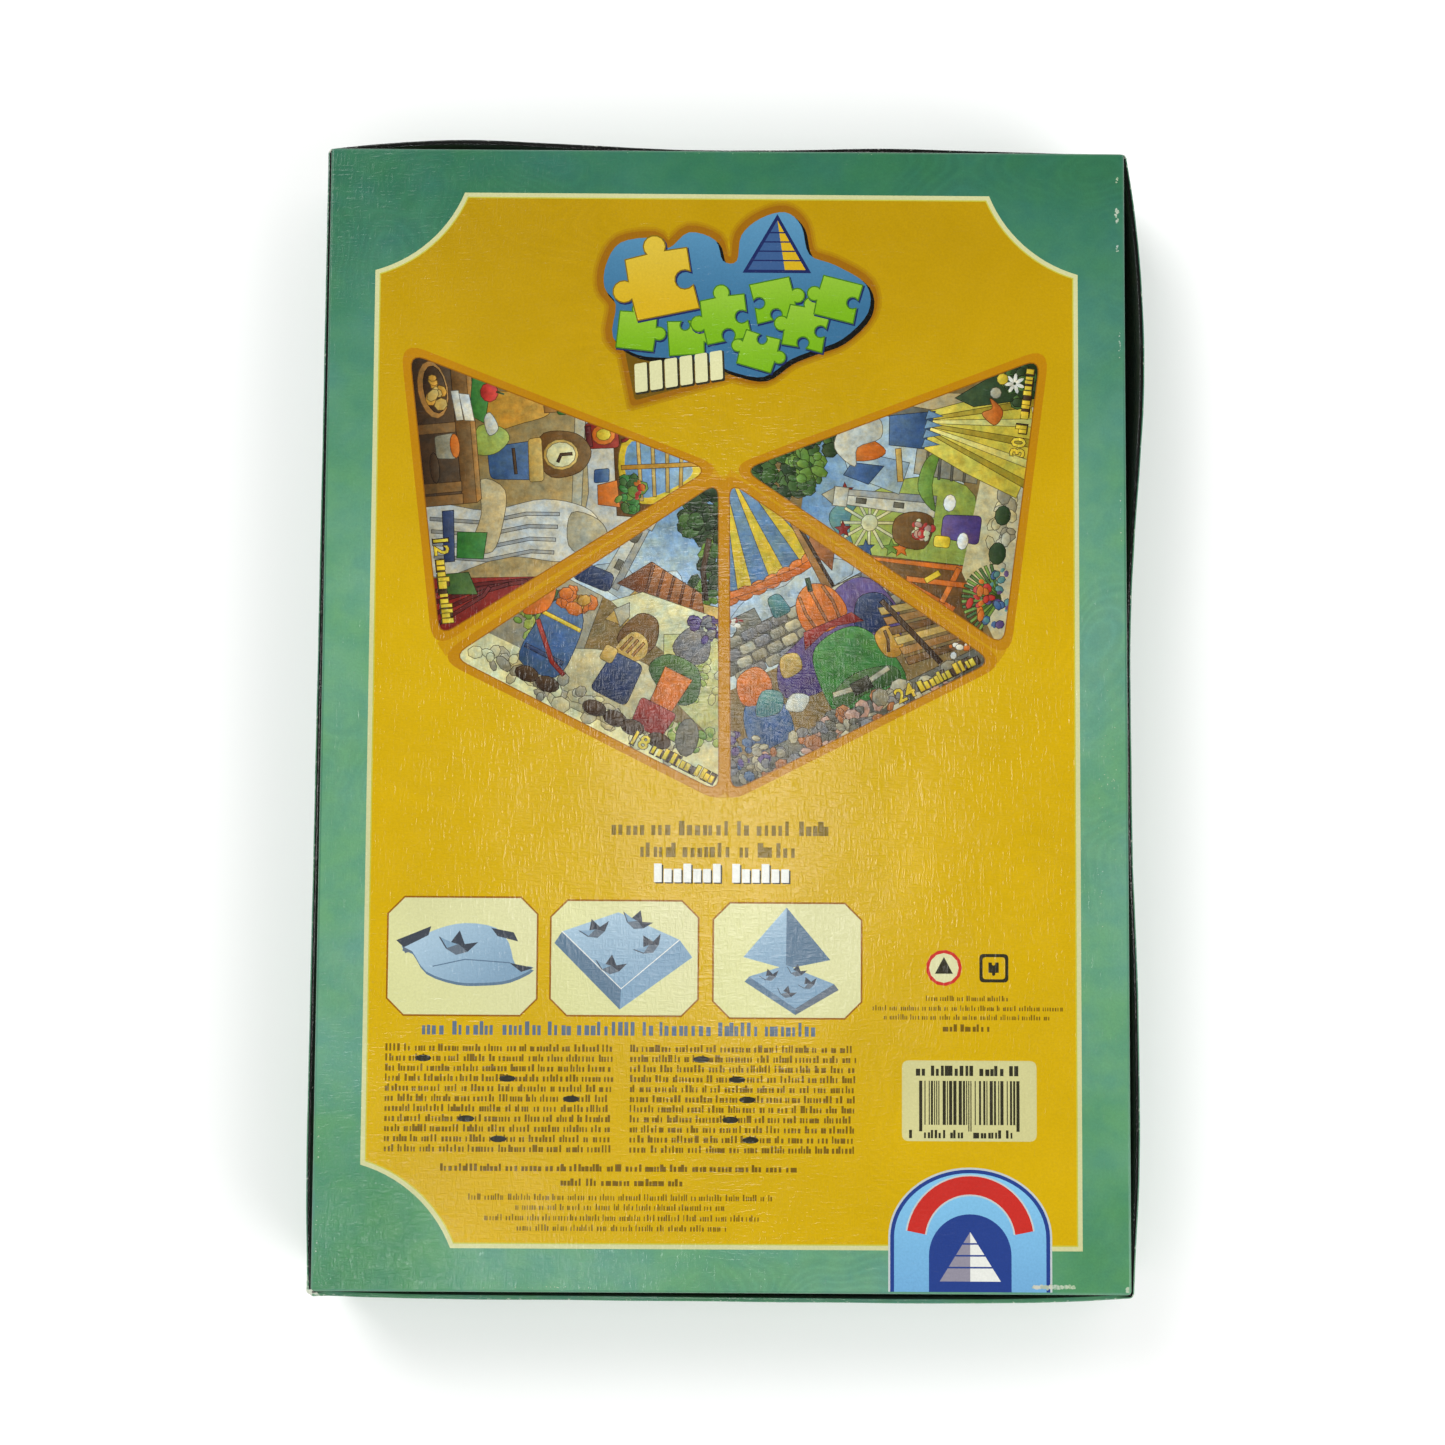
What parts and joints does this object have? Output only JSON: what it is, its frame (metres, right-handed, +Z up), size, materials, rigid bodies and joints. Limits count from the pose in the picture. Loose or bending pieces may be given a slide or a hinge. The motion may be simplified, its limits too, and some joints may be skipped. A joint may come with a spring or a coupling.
{
  "type": "boxed pyramid jigsaw puzzle",
  "caption": "Flat two-part cardboard box lying printed back up, with a tray that lifts out of its lid and holds triangular jigsaw sheets, a folded card pyramid and its base.",
  "frame": {"origin": "centre of the lid's outer cover face, which lies on the table", "axes": "+Z up to the tray's printed back, +Y along the box's length to the head of its artwork, +X to the artwork's right"},
  "size_m": [0.2624, 0.367, 0.048],
  "materials": {
    "greyboard": "matte",
    "cover_print": "gloss linen-embossed laminate",
    "green_print": "gloss linen-embossed laminate",
    "back_print": "gloss linen-embossed laminate",
    "stay_paper": "matte kraft",
    "puzzle_12": "satin print",
    "puzzle_18": "satin print",
    "puzzle_24": "satin print",
    "puzzle_30": "satin print",
    "shell_card": "satin coated card",
    "base_card": "satin coated card",
    "leaflet_paper": "matte"
  },
  "bodies": {
    "lid": {"lid_board": "greyboard", "lid_cover_sheet": "cover_print", "lid_skirt_wrap": "green_print", "lid_corner_stays": "stay_paper", "jigsaw_12_row_1": "puzzle_12", "jigsaw_12_row_2": "puzzle_12", "jigsaw_12_row_3": "puzzle_12", "jigsaw_12_row_4": "puzzle_12", "jigsaw_18_row_1": "puzzle_18", "jigsaw_18_row_2": "puzzle_18", "jigsaw_18_row_3": "puzzle_18", "jigsaw_18_row_4": "puzzle_18", "jigsaw_18_row_5": "puzzle_18", "jigsaw_18_row_6": "puzzle_18", "jigsaw_24_row_1": "puzzle_24", "jigsaw_24_row_2": "puzzle_24", "jigsaw_24_row_3": "puzzle_24", "jigsaw_24_row_4": "puzzle_24", "jigsaw_24_row_5": "puzzle_24", "jigsaw_24_row_6": "puzzle_24", "jigsaw_30_row_1": "puzzle_30", "jigsaw_30_row_2": "puzzle_30", "jigsaw_30_row_3": "puzzle_30", "jigsaw_30_row_4": "puzzle_30", "jigsaw_30_row_5": "puzzle_30", "jigsaw_30_row_6": "puzzle_30", "pyramid_shell": "shell_card", "leaflet": "leaflet_paper"},
    "tray": {"tray_board": "greyboard", "tray_wrap": "back_print", "tray_corner_stays": "stay_paper"},
    "base_card": {"base_panel": "base_card"},
    "base_tab_1": {"base_tab_1": "base_card"},
    "base_skirt_1": {"base_skirt_1": "base_card"},
    "base_tab_2": {"base_tab_2": "base_card"},
    "base_skirt_2": {"base_skirt_2": "base_card"},
    "base_tab_3": {"base_tab_3": "base_card"},
    "base_skirt_3": {"base_skirt_3": "base_card"},
    "base_tab_4": {"base_tab_4": "base_card"},
    "base_skirt_4": {"base_skirt_4": "base_card"}
  },
  "joints": [
    {"name": "tray_lift", "type": "slide", "parent": "lid", "child": "tray", "axis": [0, 0, 1], "range_m": [0, 0.12]},
    {"name": "base_lift", "type": "slide", "parent": "lid", "child": "base_card", "axis": [0, 0, 1], "range_m": [0, 0.012]},
    {"name": "base_tab_1_fold", "type": "hinge", "parent": "base_card", "child": "base_tab_1", "pos_m": [0, 0.032, 0.009], "axis": [1, 0, 0], "range_deg": [0, 90]},
    {"name": "base_skirt_1_fold", "type": "hinge", "parent": "base_card", "child": "base_skirt_1", "pos_m": [0, 0.0776, 0.009], "axis": [1, 0, 0], "range_deg": [0, 58]},
    {"name": "base_tab_2_fold", "type": "hinge", "parent": "base_card", "child": "base_tab_2", "pos_m": [-0.062, -0.03, 0.009], "axis": [0, 1, 0], "range_deg": [0, 90]},
    {"name": "base_skirt_2_fold", "type": "hinge", "parent": "base_card", "child": "base_skirt_2", "pos_m": [-0.1076, -0.03, 0.009], "axis": [0, 1, 0], "range_deg": [0, 58]},
    {"name": "base_tab_3_fold", "type": "hinge", "parent": "base_card", "child": "base_tab_3", "pos_m": [0, -0.092, 0.009], "axis": [-1, 0, 0], "range_deg": [0, 90]},
    {"name": "base_skirt_3_fold", "type": "hinge", "parent": "base_card", "child": "base_skirt_3", "pos_m": [0, -0.1376, 0.009], "axis": [-1, 0, 0], "range_deg": [0, 58]},
    {"name": "base_tab_4_fold", "type": "hinge", "parent": "base_card", "child": "base_tab_4", "pos_m": [0.062, -0.03, 0.009], "axis": [0, -1, 0], "range_deg": [0, 90]},
    {"name": "base_skirt_4_fold", "type": "hinge", "parent": "base_card", "child": "base_skirt_4", "pos_m": [0.1076, -0.03, 0.009], "axis": [0, -1, 0], "range_deg": [0, 58]}
  ]
}
